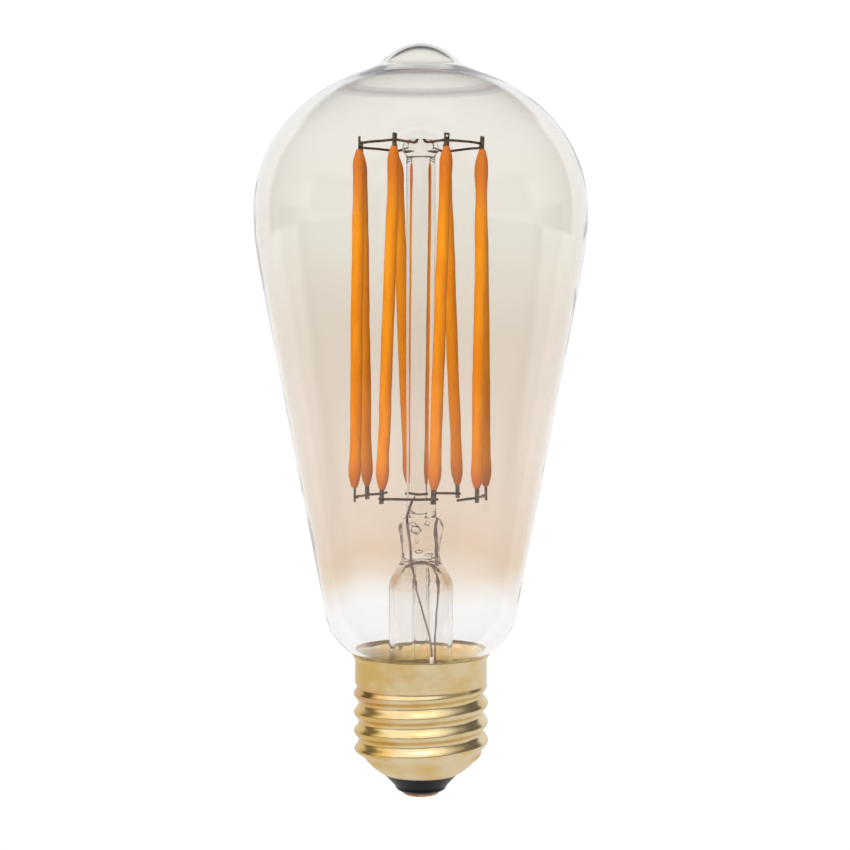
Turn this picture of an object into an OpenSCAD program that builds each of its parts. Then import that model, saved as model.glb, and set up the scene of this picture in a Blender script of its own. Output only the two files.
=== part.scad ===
// LED filament lamp: squirrel-cage glass envelope, eight LED filaments, E27 screw cap with its driver inside.
// The origin is the middle of the centre contact's flat face, and +Z runs up the lamp to the pip.

/* [Envelope] */
// Overall length, from the centre contact to the pip
lamp_length = 145; // [144:0.5:147]
// Largest diameter of the glass
envelope_dia = 64; // [63:0.5:65]
// Height of the largest diameter
belly_height = 113; // [112:0.5:114]
// Angle between the long lower cone and the axis
cone_angle = 10.6; // [10.2:0.1:10.8]
// Thickness of the envelope's glass
glass_wall = 0.7; // [0.5:0.1:0.8]

/* [Stem] */
// Outer diameter of the flare tube
flare_dia = 12.4; // [12:0.2:13]
// Width of the press, across the two seal wires
press_width = 8.8; // [8.4:0.2:9.2]
// Top of the press, where the column stands
press_top = 54.2; // [53.8:0.2:54.6]
// Outer diameter of the glass column
column_dia = 5.6; // [5.2:0.2:6]
// Top of the column's collar
column_top = 126.7; // [126.5:0.1:127]

/* [Filaments] */
// Radius of the ring of filaments at their top tabs
top_ring_r = 12.6; // [12.2:0.1:12.8]
// Radius of the ring of filaments at their bottom tabs
bottom_ring_r = 12.9; // [12.5:0.1:13.2]
// Turn of the bottom ring against the top one, clockwise from above
ring_twist = 12; // [8:1:14]
// Height of the wires at the top ring
top_ring_z = 125.6; // [125.4:0.1:125.8]
// Height of the middle of the bottom ring
bottom_ring_z = 58.2; // [57.8:0.1:58.6]
// How much higher the bottom ring stands at its front than in its middle
bottom_ring_tilt = 0.5; // [0:0.1:0.6]
// Diameter of a filament's phosphor coat
phosphor_dia = 2.3; // [2:0.1:2.6]
// Diameter of the wires that join the filaments
wire_dia = 0.5; // [0.4:0.05:0.6]

/* [Screw cap] */
// Pitch of the E27 thread
thread_pitch = 3.629; // [3.62:0.001:3.64]
// Diameter over the thread's crests
crest_dia = 26.1; // [26.06:0.01:26.1]
// Diameter at the thread's roots
root_dia = 24.2; // [24:0.05:24.26]
// Diameter of the plain skirt above the thread
skirt_dia = 25.6; // [25.56:0.01:25.64]
// Height of the cap's rim
rim_z = 27.7; // [27.6:0.1:27.7]
// Thickness of the rolled brass
brass_wall = 0.4; // [0.4:0.05:0.45]
// Diameter of the centre contact
contact_dia = 7.2; // [6.8:0.2:7.4]

/* [Driver] */
// Diameter of the round circuit board
board_dia = 21; // [19:0.5:21.5]
// Height of the board's upper face
board_z = 11; // [10.8:0.1:11.2]
// Diameter of the smoothing capacitor
capacitor_dia = 8; // [6.3:0.1:8]

/* [Hidden] */
$fn = 48;
small_sides = 16;

// Envelope outline: tangent arcs from the pip down to the neck.
// A slope is the angle from +Z to the outward normal: 0 faces up, 90 faces out.
pip_r = 9.6;
pip_slope = 50;
pip_fillet_r = 5;
crown_slope = 21;
crown_r = 30.7;
belly_slope = 48;
belly_r = 26;
taper_r = 60;
shoulder_z = 35.3;
shoulder_r = 11;
shoulder_slope = 152;
neck_fillet_r = 2.4;
neck_bottom = 18.4;
pip_c = [0, lamp_length - pip_r];
pip_fillet_c = pip_c + (pip_r + pip_fillet_r)*facing_slope(pip_slope);
belly_c = [envelope_dia/2 - belly_r, belly_height];
crown_c = belly_c + (belly_r - crown_r)*facing_slope(belly_slope);
taper_c = [envelope_dia/2 - taper_r, belly_height];
taper_end = taper_c + taper_r*facing_slope(90 + cone_angle);
shoulder_start = [taper_end.x - (taper_end.y - shoulder_z)*tan(cone_angle), shoulder_z];
shoulder_c = shoulder_start - shoulder_r*facing_slope(90 + cone_angle);
neck_fillet_c = shoulder_c + (shoulder_r + neck_fillet_r)*facing_slope(shoulder_slope);
neck_r = neck_fillet_c.x - neck_fillet_r;

// Stem
stem_wall = 0.8;
press_thick = 4.4;
press_z = 45.6;
press_root = 0.8;
flare_shoulder_z = 41.3;
flare_curve_r = 9;
flare_curve_z = 27;
flare_slope = 30;
flare_c = [flare_dia/2 + flare_curve_r, flare_curve_z];
seal_gap = 0.05;
flare_end = flare_c - flare_curve_r*facing_slope(flare_slope);
flare_rim_r = neck_r - glass_wall - seal_gap;
press_outline = [for (a = [0:15:345])
    [sign(cos(a))*(press_width - press_thick)/2 + press_thick/2*cos(a), press_thick/2*sin(a)]];
press_inner_z = press_z - 1.2;
press_ledge = 0.2;
exhaust_sink = 0.6;
collar_run = 1;
collar_round = 0.5;
collar_dia = 7;
collar_z = 124.1;
exhaust_dia = 3.2;
exhaust_bore = 2;
exhaust_tip_z = 21.8;

// Filaments: number i stands at azimuth first_azimuth + i*45, counted from the front towards +X
filament_count = 8;
azimuth_step = 360/filament_count;
first_azimuth = -157.5;
coat_start = 1.9;
coat_stop = 1.2;
coat_nose = 2.6;
coat_nose_r = 0.65;
strip_w = 1;
strip_thick = 0.35;
tab_foot = 0.9;
tab_head = 1.3;
tab_hole_dia = 0.4;
foot_hole = 1.4;
head_hole = 0.75;
chip_w = 0.5;
chip_len = 1.1;
chip_thick = 0.15;
chips_per_filament = 16;
chip_margin = 5;
chip_gap = 0.5;
// Turn of each strip from facing outward; 90 shows its edge
strip_turns = [90, 0, 0, 90, 0, 0, 0, 90];
wire_inset = (wire_dia + strip_thick)/2;
wire_hug = 0.9;
wire_tail = 0.8;
// Loose ends of the bottom wires; the left and right ones run on past their first tab
bottom_tails = [6, wire_tail, 6, wire_tail];
top_wire_root_r = 2.4;
top_wire_root_z = 125.3;

// Lead wires, from the filaments down to the board; none of them runs along lead_across
lead_across = [0.6, 0.8, 0];
lead_dia = 0.5;
outer_lead_dia = 0.36;
lead_hole = 0.54;
bead_dia = 0.8;
left_inner_path = [under_bottom_wire(1, 0.6), [-2.75, -1.6, 54.4], [-2.5, -1.1, 53.2]];
left_seal_path = [[-2.5, -1.1, 53.2], [-1.9, -0.9, 48], [-1.7, -1.4, 44.2]];
left_outer_path = [[-1.7, -1.4, 44.2], [-1.1, -2.5, 41.7], [2, -2.7, 30], [2.2, -2.8, 21], [3, -4, board_z]];
right_inner_path = [under_bottom_wire(3, 0.5), [2.75, 1.6, 54.4], [2.5, 1.1, 53.2]];
right_seal_path = [[2.5, 1.1, 53.2], [2.6, 0.3, 48], [2.7, 0, 44.2]];
right_outer_path = [[2.7, 0, 44.2], [3.35, -1.2, 41.6], [2.6, -1.9, 30], [3.1, -2.2, 21], [5.5, -3, board_z]];
sleeve_dia = 0.9;
sleeve_slack = 0.02;
sleeve_path = [[2.2, -2.8, 21], [2.07, -2.74, 27]];

// Cap
crest_z = 16.2;
skirt_z = 22.2;
lip_z = 26.4;
lip_bend_z = 27;
lip_flare = 0.55;
lip_edge = 0.3;
bowl_top_z = 9.3;
bowl_edge_z = 4.3;
bowl_edge_r = 7.5;
bowl_round = 10.8;
bowl_step = 0.3;
bowl_rows = 8;
thread_low_z = 6.8;
thread_fade = 1.6;
thread_tail = 0.3;
thread_rows = 36;
thread_sides = 40;
tuck = 0.1;
insulator_rows = 6;
insulator_top_z = bowl_edge_z + insulator_rows*bowl_step;
insulator_r = 7.35;
insulator_tip_r = 4.9;
insulator_tip_z = 1.45;
insulator_round = 0.45;
lead_hole_dia = 2;
contact_flat_r = 2.6;
contact_edge_z = 0.6;
contact_top_z = 0.9;
cement_low_z = 22.6;
cement_top_z = 27.2;

// Driver
board_thick = 1;
board_low_z = board_z - board_thick;
pin_dia = 0.6;
capacitor_len = 7.2;
capacitor_at = [-4.6, 3.5];
capacitor_skin = 0.15;
rectifier_size = [4.7, 3.8, 1.5];
rectifier_at = [-3.6, -3.6];
chip_size = [4.9, 3.9, 1.5];
chip_at = [4.2, 3];
choke_at = [-5.8, -3.6];
choke_dia = 5.4;
choke_height = 4.6;
choke_flange = 0.7;
choke_post_dia = 2.6;
winding_dia = 4.8;
fuse_dia = 2.2;
fuse_len = 5.4;
fuse_at = [0, -7.5];
fuse_drop = 1.9;
fuse_reach = 0.8;
fuse_wire_dia = 0.5;
radio_board_size = [6.8, 5.4, 0.8];
radio_can_size = [4.6, 4.4, 1.4];
radio_at = [4.9, 3.6];
centre_lead_path = [[0, 0, contact_top_z], [0, 0, 7], [0.4, -1, 8.6], [0.4, -1, board_z]];
shell_lead_path = [[8.4, -3.2, board_low_z], [8.4, -3.2, 12.4], [9.6, -3.6, 13.4], [10.8, -4, 13.6]];
fuse_pins = [for (side = [-1, 1]) fuse_at + [side*(fuse_len/2 + fuse_reach), 0]];
wire_pads = [for (path = [left_outer_path, right_outer_path]) [path[4].x, path[4].y]];
lead_pads = [[centre_lead_path[3].x, centre_lead_path[3].y], [shell_lead_path[0].x, shell_lead_path[0].y]];
joint_dia = 1.4;
joint_height = 0.5;

function facing_slope(a) = [sin(a), cos(a)];
function arc(c, r, a0, a1, n) = [for (i = [0:n]) c + r*facing_slope(a0 + (a1 - a0)*i/n)];
function no_repeats(p) = [for (i = [0:len(p) - 1]) if (i == 0 || norm(p[i] - p[i - 1]) > 0.001) p[i]];
function reversed(p) = [for (i = [len(p) - 1:-1:0]) p[i]];
function clamp01(t) = min(1, max(0, t));

// The envelope's skin from the pip down to the neck's end, inset into the glass
function envelope_skin(inset) = no_repeats(concat(
    arc(pip_c, pip_r - inset, 0, pip_slope, 8),
    arc(pip_fillet_c, -pip_fillet_r - inset, pip_slope, crown_slope, 5),
    arc(crown_c, crown_r - inset, crown_slope, belly_slope, 5),
    arc(belly_c, belly_r - inset, belly_slope, 90, 7),
    arc(taper_c, taper_r - inset, 90, 90 + cone_angle, 3),
    arc(shoulder_c, shoulder_r - inset, 90 + cone_angle, shoulder_slope, 8),
    arc(neck_fillet_c, -neck_fillet_r - inset, shoulder_slope, 90, 6),
    [[neck_r - inset, neck_bottom]]));

// The flare tube's side, from its shoulder down to its rim, inset into the glass
function flare_side(inset) = concat(
    [[flare_dia/2 - inset, flare_shoulder_z]],
    arc(flare_c, -flare_curve_r - inset, 90, flare_slope, 8));

function ring_point(azimuth, r, z) = [r*sin(azimuth), -r*cos(azimuth), z];
function top_azimuth(i) = first_azimuth + i*azimuth_step;
function bottom_azimuth(i) = top_azimuth(i) - ring_twist;
function top_point(azimuth, r) = ring_point(azimuth, r, top_ring_z);
function bottom_point(azimuth, r) = ring_point(azimuth, r, bottom_ring_z + bottom_ring_tilt*cos(azimuth));

function tangent_step(azimuth, d) = d*[cos(azimuth), sin(azimuth), 0];

// Each joining wire hugs two tabs; a top wire starts at the outer filament of its pair, passes the
// inner one and runs on into the column's collar
function top_wire_path(k) =
    let (inner = 2*k + k%2, outer = 2*k + 1 - k%2,
         r = top_ring_r - wire_inset,
         side = sign(top_azimuth(inner) - top_azimuth(outer)),
         a = top_point(top_azimuth(outer), r),
         b = top_point(top_azimuth(inner), r))
    [a - side*tangent_step(top_azimuth(outer), wire_tail),
     a + side*tangent_step(top_azimuth(outer), wire_hug),
     b - side*tangent_step(top_azimuth(inner), wire_hug),
     b + side*tangent_step(top_azimuth(inner), wire_hug/2),
     ring_point(top_azimuth(inner), top_wire_root_r, top_wire_root_z)];
function bottom_wire_path(k) =
    let (az_a = bottom_azimuth(2*k + 1), az_b = bottom_azimuth(2*k + 2),
         r = bottom_ring_r - wire_inset,
         a = bottom_point(az_a, r),
         b = bottom_point(az_b, r))
    [a - tangent_step(az_a, bottom_tails[k]), a + tangent_step(az_a, wire_hug),
     b - tangent_step(az_b, wire_hug), b + tangent_step(az_b, wire_tail)];
// Where a lead of the wires' thickness touches the underside of a bottom wire, at a share of its long run
function under_bottom_wire(k, share) = let (path = bottom_wire_path(k))
    path[1] + share*(path[2] - path[1]) - [0, 0, wire_dia];

// Outer radius of the cap's bowl and thread
bowl_chord = [root_dia/2 - bowl_edge_r, bowl_top_z - bowl_edge_z];
bowl_mid = [bowl_edge_r, bowl_edge_z] + bowl_chord/2;
bowl_reach = sqrt(bowl_round^2 - (norm(bowl_chord)/2)^2);
bowl_c = bowl_mid - bowl_reach*[bowl_chord.y, -bowl_chord.x]/norm(bowl_chord);
function bowl_r(z) = z > bowl_top_z ? root_dia/2 : bowl_c.x + sqrt(bowl_round^2 - (z - bowl_c.y)^2);
function crest_share(z, turn) = (1 + cos(360*((z - crest_z)/thread_pitch - (turn - 180)/360)))/2;
function thread_r(z, turn) =
    let (low = clamp01((z - thread_low_z)/thread_fade), high = clamp01((skirt_z - z)/thread_fade),
         rolled = bowl_r(z) + low*(crest_dia - root_dia)/2*crest_share(z, turn))
    high*rolled + (1 - high)*skirt_dia/2;

// A wire swept along a list of points; across is any direction the wire never runs along
wire_sides = 8;
function unit(v) = v/norm(v);
function run(path, i) = unit(unit(path[min(i + 1, len(path) - 1)] - path[min(i, len(path) - 2)])
    + unit(path[max(i, 1)] - path[max(i - 1, 0)]));
module wire(path, dia, across = [0, 0, 1]) {
    last = len(path) - 1;
    function ring(i) = let (u = unit(cross(across, run(path, i))), w = cross(run(path, i), u))
        [for (s = [0:wire_sides - 1]) path[i] + dia/2*(cos(360*s/wire_sides)*u + sin(360*s/wire_sides)*w)];
    function at(i, s) = i*wire_sides + s%wire_sides;
    polyhedron([for (i = [0:last]) each ring(i)], concat(
        [[for (s = [0:wire_sides - 1]) s], [for (s = [wire_sides - 1:-1:0]) at(last, s)]],
        [for (i = [0:last - 1]) for (s = [0:wire_sides - 1]) each
            [[at(i, s), at(i + 1, s), at(i + 1, s + 1)], [at(i, s), at(i + 1, s + 1), at(i, s + 1)]]]));
}
module lead(path, dia) wire(path, dia, lead_across);
module copper_wire(path) color("peru") lead(path, outer_lead_dia);
module steel_wire(path) color("dimgray") wire(path, wire_dia);

module glass_envelope() color("wheat", 0.3)
    rotate_extrude() polygon(concat(envelope_skin(0), reversed(envelope_skin(glass_wall))));

// Stem: the flare tube closes in the flat press that seals the two lead wires
module press_slab() translate([0, 0, press_z - press_root]) linear_extrude(press_top - press_z + press_root)
    polygon(press_outline);
module stem_flare() color("aliceblue", 0.4) difference() {
    union() {
        rotate_extrude() polygon(concat(
            [[0, press_inner_z], [0, press_z], [press_width/2 - press_ledge, press_z]],
            flare_side(0),
            [[flare_rim_r, flare_end.y], [flare_rim_r, neck_bottom], [flare_end.x, neck_bottom]],
            reversed(flare_side(stem_wall)), [[press_width/2 - press_ledge - stem_wall, press_inner_z]]));
        press_slab();
    }
    lead(concat(left_inner_path, [left_seal_path[1], left_outer_path[0], left_outer_path[1]]), lead_hole);
    lead(concat(right_inner_path, [right_seal_path[1], right_outer_path[0], right_outer_path[1]]), lead_hole);
    cylinder(d = exhaust_dia, h = press_inner_z + exhaust_sink);
}

module stem_column() color("aliceblue", 0.4) difference() {
    union() {
        translate([0, 0, press_top]) cylinder(d = column_dia, h = column_top - press_top);
        rotate_extrude() polygon([[0, collar_z - collar_run], [column_dia/2, collar_z - collar_run],
            [collar_dia/2, collar_z], [collar_dia/2, column_top - collar_round],
            [collar_dia/2 - collar_round, column_top], [0, column_top]]);
    }
    for (k = [0:3]) wire(top_wire_path(k), wire_dia);
}

module exhaust_tube() color("aliceblue", 0.4) rotate_extrude() polygon([[0, exhaust_tip_z],
    [exhaust_dia/4, exhaust_tip_z + exhaust_dia/8], [exhaust_dia/2, exhaust_tip_z + exhaust_dia/2],
    [exhaust_dia/2, press_inner_z + exhaust_sink], [exhaust_bore/2, press_inner_z + exhaust_sink],
    [exhaust_bore/2, exhaust_tip_z + exhaust_dia], [0, exhaust_tip_z + exhaust_dia/2]]);

// Lead wires: inner lead, seal wire and outer lead are butt-welded end to end
module inner_lead(path) color("dimgray") lead(path, lead_dia);
module seal_wire(path) color("sienna") lead(path, lead_dia);
module outer_lead(path) color("peru") {
    lead(path, outer_lead_dia);
    translate(path[1]) sphere(d = bead_dia);
}
module lead_sleeve() color("white") difference() {
    lead(sleeve_path, sleeve_dia);
    lead(left_outer_path, outer_lead_dia + sleeve_slack);
}

// Filament i in its own frame: from the bottom wire's height along the strip to the top wire's height
function filament_foot(i) = bottom_point(bottom_azimuth(i), bottom_ring_r);
function filament_head(i) = top_point(top_azimuth(i), top_ring_r);
function filament_len(i) = norm(filament_head(i) - filament_foot(i));
module on_filament(i) {
    v = filament_head(i) - filament_foot(i);
    lean = atan2(v.y, v.x);
    outward = bottom_azimuth(i) - 90;
    translate(filament_foot(i)) rotate([0, acos(v.z/norm(v)), lean])
        rotate([0, 0, outward + strip_turns[i] - lean]) children();
}
module strip_bar(i) translate([-strip_thick/2, -strip_w/2, -tab_foot])
    cube([strip_thick, strip_w, tab_foot + filament_len(i) + tab_head]);
module chip_bar(z, len) translate([strip_thick/2, -chip_w/2, z]) cube([chip_thick, chip_w, len]);

module filament(i) color("orange") on_filament(i) difference() {
    len = filament_len(i);
    nose = [for (a = [0:30:90])
        [coat_nose_r + (phosphor_dia/2 - coat_nose_r)*sin(a), coat_nose*(1 - cos(a))]];
    rotate_extrude() polygon(concat([[0, coat_start]], [for (p = nose) [p.x, coat_start + p.y]],
        [for (p = reversed(nose)) [p.x, len - coat_stop - p.y]], [[0, len - coat_stop]]));
    strip_bar(i);
    chip_bar(chip_margin - chip_gap, len - 2*(chip_margin - chip_gap));
}
module filament_strip(i) color("silver") difference() {
    on_filament(i) difference() {
        strip_bar(i);
        for (z = [foot_hole, filament_len(i) + head_hole])
            translate([-strip_thick, 0, z]) rotate([0, 90, 0])
                cylinder(d = tab_hole_dia, h = 2*strip_thick, $fn = small_sides);
    }
    wire(top_wire_path(floor(i/2)), wire_dia);
    wire(bottom_wire_path(floor((i + 7)/2)%4), wire_dia);
}
module led_chips() color("steelblue") for (i = [0:filament_count - 1]) on_filament(i) {
    pitch = (filament_len(i) - 2*chip_margin - chip_len)/(chips_per_filament - 1);
    for (j = [0:chips_per_filament - 1]) chip_bar(chip_margin + j*pitch, chip_len);
}

// Screw cap: a rolled brass shell; the threaded stretch tucks its ends inside the walls of the others
module thread_shell() {
    low = thread_low_z - thread_tail;
    step = (skirt_z + thread_tail - low)/thread_rows;
    last = thread_rows;
    function row_inset(j) = j <= 0 || j >= last ? tuck : 0;
    rings = [for (j = [0:last]) [for (s = [0:thread_sides - 1])
        let (z = low + j*step, turn = 360*s/thread_sides) [thread_r(z, turn) - row_inset(j), turn, z]]];
    function place(p, wall) = [(p.x - wall)*cos(p.y), (p.x - wall)*sin(p.y), p.z];
    points = concat(
        [for (ring = rings) for (p = ring) place(p, 0)],
        [for (j = [0:last]) for (p = rings[j]) place(p, brass_wall - 2*row_inset(j))]);
    inside = (last + 1)*thread_sides;
    function at(j, s) = j*thread_sides + s%thread_sides;
    faces = concat(
        [for (j = [0:last - 1]) for (s = [0:thread_sides - 1]) each [
            [at(j, s), at(j + 1, s), at(j + 1, s + 1)], [at(j, s), at(j + 1, s + 1), at(j, s + 1)],
            [inside + at(j, s), inside + at(j + 1, s + 1), inside + at(j + 1, s)],
            [inside + at(j, s), inside + at(j, s + 1), inside + at(j + 1, s + 1)]]],
        [for (s = [0:thread_sides - 1]) each [
            [at(0, s), at(0, s + 1), inside + at(0, s + 1)],
            [at(0, s), inside + at(0, s + 1), inside + at(0, s)],
            [at(last, s), inside + at(last, s + 1), at(last, s + 1)],
            [at(last, s), inside + at(last, s), inside + at(last, s + 1)]]]);
    polyhedron(points, faces);
}
module skirt_ring() rotate_extrude() polygon([[skirt_dia/2 - brass_wall, skirt_z], [skirt_dia/2, skirt_z],
    [skirt_dia/2, lip_z], [skirt_dia/2 + lip_flare/4, lip_bend_z], [skirt_dia/2 + lip_flare, rim_z],
    [skirt_dia/2 + lip_flare - lip_edge, rim_z], [skirt_dia/2 + lip_flare/4 - brass_wall, lip_bend_z],
    [skirt_dia/2 - brass_wall, lip_z]]);
function bowl_side(wall, rows) = [for (i = [0:rows])
    let (z = bowl_edge_z + i*bowl_step) [bowl_r(z) - wall, z]];
module bowl_ring() rotate_extrude()
    polygon(concat(bowl_side(0, bowl_rows), reversed(bowl_side(brass_wall, bowl_rows))));
module screw_cap() color("goldenrod") union() {
    skirt_ring();
    thread_shell();
    bowl_ring();
}

module cap_insulator() color([0.08, 0.07, 0.07]) difference() {
    union() {
        rotate_extrude() polygon(concat([[0, bowl_edge_z]], bowl_side(brass_wall, insulator_rows),
            [[0, insulator_top_z]]));
        rotate_extrude() polygon([[0, contact_edge_z], [contact_dia/2, contact_edge_z],
            [insulator_tip_r - insulator_round, insulator_tip_z - insulator_round],
            [insulator_tip_r, insulator_tip_z], [insulator_r, bowl_edge_z], [0, bowl_edge_z]]);
    }
    cylinder(d = lead_hole_dia, h = lamp_length);
    cylinder(d = contact_dia, h = contact_top_z);
}
module centre_contact() color("chocolate") rotate_extrude() polygon(concat([[0, 0]],
    [for (a = [0:22.5:90])
        [contact_flat_r + (contact_dia/2 - contact_flat_r)*sin(a), contact_edge_z*(1 - cos(a))]],
    [[contact_dia/2, contact_top_z], [0, contact_top_z]]));
module basing_cement() color("beige") difference() {
    translate([0, 0, cement_low_z]) cylinder(d = skirt_dia - 2*brass_wall, h = cement_top_z - cement_low_z);
    rotate_extrude() polygon(concat([[0, neck_bottom], [0, lamp_length]], envelope_skin(0)));
}

// Driver, with its small radio for switching and dimming by wireless, on a round board in the cap
module pin(at, z0, z1) translate([at.x, at.y, z0]) cylinder(d = pin_dia, h = z1 - z0, $fn = small_sides);
module driver_board() color("darkgreen") difference() {
    translate([0, 0, board_low_z]) cylinder(d = board_dia, h = board_thick);
    for (at = concat(fuse_pins, lead_pads)) pin(at, 0, lamp_length);
}
module underside_block(at, size)
    translate([at.x - size.x/2, at.y - size.y/2, board_low_z - size.z]) cube(size);
module bridge_rectifier() color([0.15, 0.15, 0.16]) underside_block(rectifier_at, rectifier_size);
module driver_chip() color([0.12, 0.12, 0.13]) underside_block(chip_at, chip_size);
module capacitor_body(dia)
    translate([capacitor_at.x, capacitor_at.y, board_z]) cylinder(d = dia, h = capacitor_len);
module smoothing_capacitor() color("silver") capacitor_body(capacitor_dia - 2*capacitor_skin);
module capacitor_sleeve() color("midnightblue") difference() {
    capacitor_body(capacitor_dia);
    capacitor_body(capacitor_dia - 2*capacitor_skin);
}
module choke_core() color("gray") translate([choke_at.x, choke_at.y, board_z]) {
    cylinder(d = choke_dia, h = choke_flange);
    cylinder(d = choke_post_dia, h = choke_height);
    translate([0, 0, choke_height - choke_flange]) cylinder(d = choke_dia, h = choke_flange);
}
module choke_winding() color("chocolate") translate([choke_at.x, choke_at.y, board_z + choke_flange])
    difference() {
        cylinder(d = winding_dia, h = choke_height - 2*choke_flange);
        cylinder(d = choke_post_dia, h = choke_height);
    }
module fuse_resistor() color("darkseagreen") {
    z = board_low_z - fuse_drop;
    translate([fuse_at.x, fuse_at.y, z]) rotate([0, 90, 0]) {
        cylinder(d = fuse_dia, h = fuse_len, center = true);
        cylinder(d = fuse_wire_dia, h = fuse_len + 2*fuse_reach, center = true);
    }
    for (p = fuse_pins) pin(p, z - pin_dia/2, board_z);
}
module radio_module() color("seagreen") translate([radio_at.x, radio_at.y, board_z]) {
    translate([-radio_board_size.x/2, -radio_board_size.y/2, 0]) cube(radio_board_size);
    translate([-radio_can_size.x/2, -radio_can_size.y/2, radio_board_size.z]) cube(radio_can_size);
}
module mains_lead_centre() copper_wire(centre_lead_path);
module mains_lead_shell() copper_wire(shell_lead_path);
module solder_joints() color("lightgray") difference() {
    for (at = concat(fuse_pins, lead_pads, wire_pads))
        translate([at.x, at.y, board_z])
            cylinder(d1 = joint_dia, d2 = pin_dia, h = joint_height, $fn = 24);
    for (path = [left_outer_path, right_outer_path, centre_lead_path, shell_lead_path])
        lead(path, outer_lead_dia);
}

glass_envelope();
stem_flare();
stem_column();
exhaust_tube();
inner_lead(left_inner_path);  // left_inner_lead
seal_wire(left_seal_path);  // left_seal_wire
outer_lead(left_outer_path);  // left_outer_lead
inner_lead(right_inner_path);  // right_inner_lead
seal_wire(right_seal_path);  // right_seal_wire
outer_lead(right_outer_path);  // right_outer_lead
steel_wire(top_wire_path(0));  // top_wire_back_left
steel_wire(top_wire_path(1));  // top_wire_front_left
steel_wire(top_wire_path(2));  // top_wire_front_right
steel_wire(top_wire_path(3));  // top_wire_back_right
steel_wire(bottom_wire_path(0));  // bottom_wire_left
steel_wire(bottom_wire_path(1));  // bottom_wire_front
steel_wire(bottom_wire_path(2));  // bottom_wire_right
steel_wire(bottom_wire_path(3));  // bottom_wire_back
for (i = [0:filament_count - 1]) {
    filament(i);
    filament_strip(i);
}
led_chips();
screw_cap();
cap_insulator();
centre_contact();
basing_cement();
driver_board();
bridge_rectifier();
smoothing_capacitor();
capacitor_sleeve();
driver_chip();
choke_core();
choke_winding();
fuse_resistor();
radio_module();
mains_lead_centre();
mains_lead_shell();
lead_sleeve();
solder_joints();
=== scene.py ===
"""Looks of the LED filament lamp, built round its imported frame.

Shapes are worked out in millimetres and turned into metres when a mesh is made.
A slope is the angle from +Z to an outward normal: 0 faces up, 90 faces out.
Azimuths count from the front (-Y) towards +X.
"""
import math

import bmesh
import bpy
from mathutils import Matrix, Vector, noise


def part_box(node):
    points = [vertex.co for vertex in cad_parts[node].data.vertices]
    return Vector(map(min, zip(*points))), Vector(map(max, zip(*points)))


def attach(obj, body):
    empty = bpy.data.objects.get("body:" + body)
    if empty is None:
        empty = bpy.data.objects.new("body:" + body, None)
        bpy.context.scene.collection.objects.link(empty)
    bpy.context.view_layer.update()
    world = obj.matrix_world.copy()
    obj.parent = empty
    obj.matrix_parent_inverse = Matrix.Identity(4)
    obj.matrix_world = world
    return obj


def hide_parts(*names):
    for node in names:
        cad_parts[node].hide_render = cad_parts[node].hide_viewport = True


# The wires' wander starts from a set seed, so that each run bends them alike
WANDER_SEED = 3
noise.seed_set(WANDER_SEED)

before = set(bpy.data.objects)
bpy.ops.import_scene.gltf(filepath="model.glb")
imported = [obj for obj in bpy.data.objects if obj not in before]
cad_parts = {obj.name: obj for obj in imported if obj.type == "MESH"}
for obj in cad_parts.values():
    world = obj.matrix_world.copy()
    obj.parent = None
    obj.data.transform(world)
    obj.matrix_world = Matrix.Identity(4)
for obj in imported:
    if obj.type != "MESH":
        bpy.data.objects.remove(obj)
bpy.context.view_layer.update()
MM = 0.001


def placed(name, data):
    """A new object in the scene."""
    made = bpy.data.objects.new(name, data)
    bpy.context.scene.collection.objects.link(made)
    return made


# ---------------------------------------------------------------- camera
CAMERA_AT = (0.0008, -0.380, 0.092)
CAMERA_PITCH = 3.02
CAMERA_LENS = 83.5
camera_data = bpy.data.cameras.new("camera")
camera_data.lens = CAMERA_LENS
camera_data.clip_start = 0.01
camera = placed("camera", camera_data)
camera.location = CAMERA_AT
camera.rotation_euler = (math.radians(90 - CAMERA_PITCH), 0, 0)
bpy.context.scene.camera = camera


# ---------------------------------------------------------------- sizes, mm, from the frame
def low(node):
    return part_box(node)[0] / MM


def high(node):
    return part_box(node)[1] / MM


LAMP_LENGTH = high("glass_envelope").z
ENVELOPE_R = high("glass_envelope").x
NECK_BOTTOM = low("glass_envelope").z
FLARE_RIM_R = high("stem_flare").x
FLARE_BOTTOM = low("stem_flare").z
PRESS_TOP = high("stem_flare").z
COLUMN_TOP = high("stem_column").z
COLLAR_R = high("stem_column").x
EXHAUST_TIP = low("exhaust_tube").z
EXHAUST_TOP = high("exhaust_tube").z
EXHAUST_R = high("exhaust_tube").x
RIM_Z = high("screw_cap").z
RIM_R = high("screw_cap").x
BOWL_EDGE_Z = low("screw_cap").z
CEMENT_LOW = low("basing_cement").z
CEMENT_TOP = high("basing_cement").z
CONTACT_R = high("centre_contact").x

# Envelope: each arc's radius, and the slopes where one arc hands over to the next
ENVELOPE_SIDES = 192
GLASS_WALL = 0.7
GLASS_WANDER = 0.07
STILL_Z = 30
PIP_FOOT_Z = 136
PIP_HEIGHT = 7
PIP_EXTRA = 0.2
BELLY_Z = 113
CONE_ANGLE = 10.6
PIP_R = 9.6
PIP_SLOPE = 50
PIP_FILLET_R = 5
CROWN_SLOPE = 21
CROWN_R = 30.7
BELLY_SLOPE = 48
BELLY_R = 26
TAPER_R = 60
SHOULDER_Z = 35.3
SHOULDER_R = 11
SHOULDER_SLOPE = 152
NECK_FILLET_R = 2.4

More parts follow.
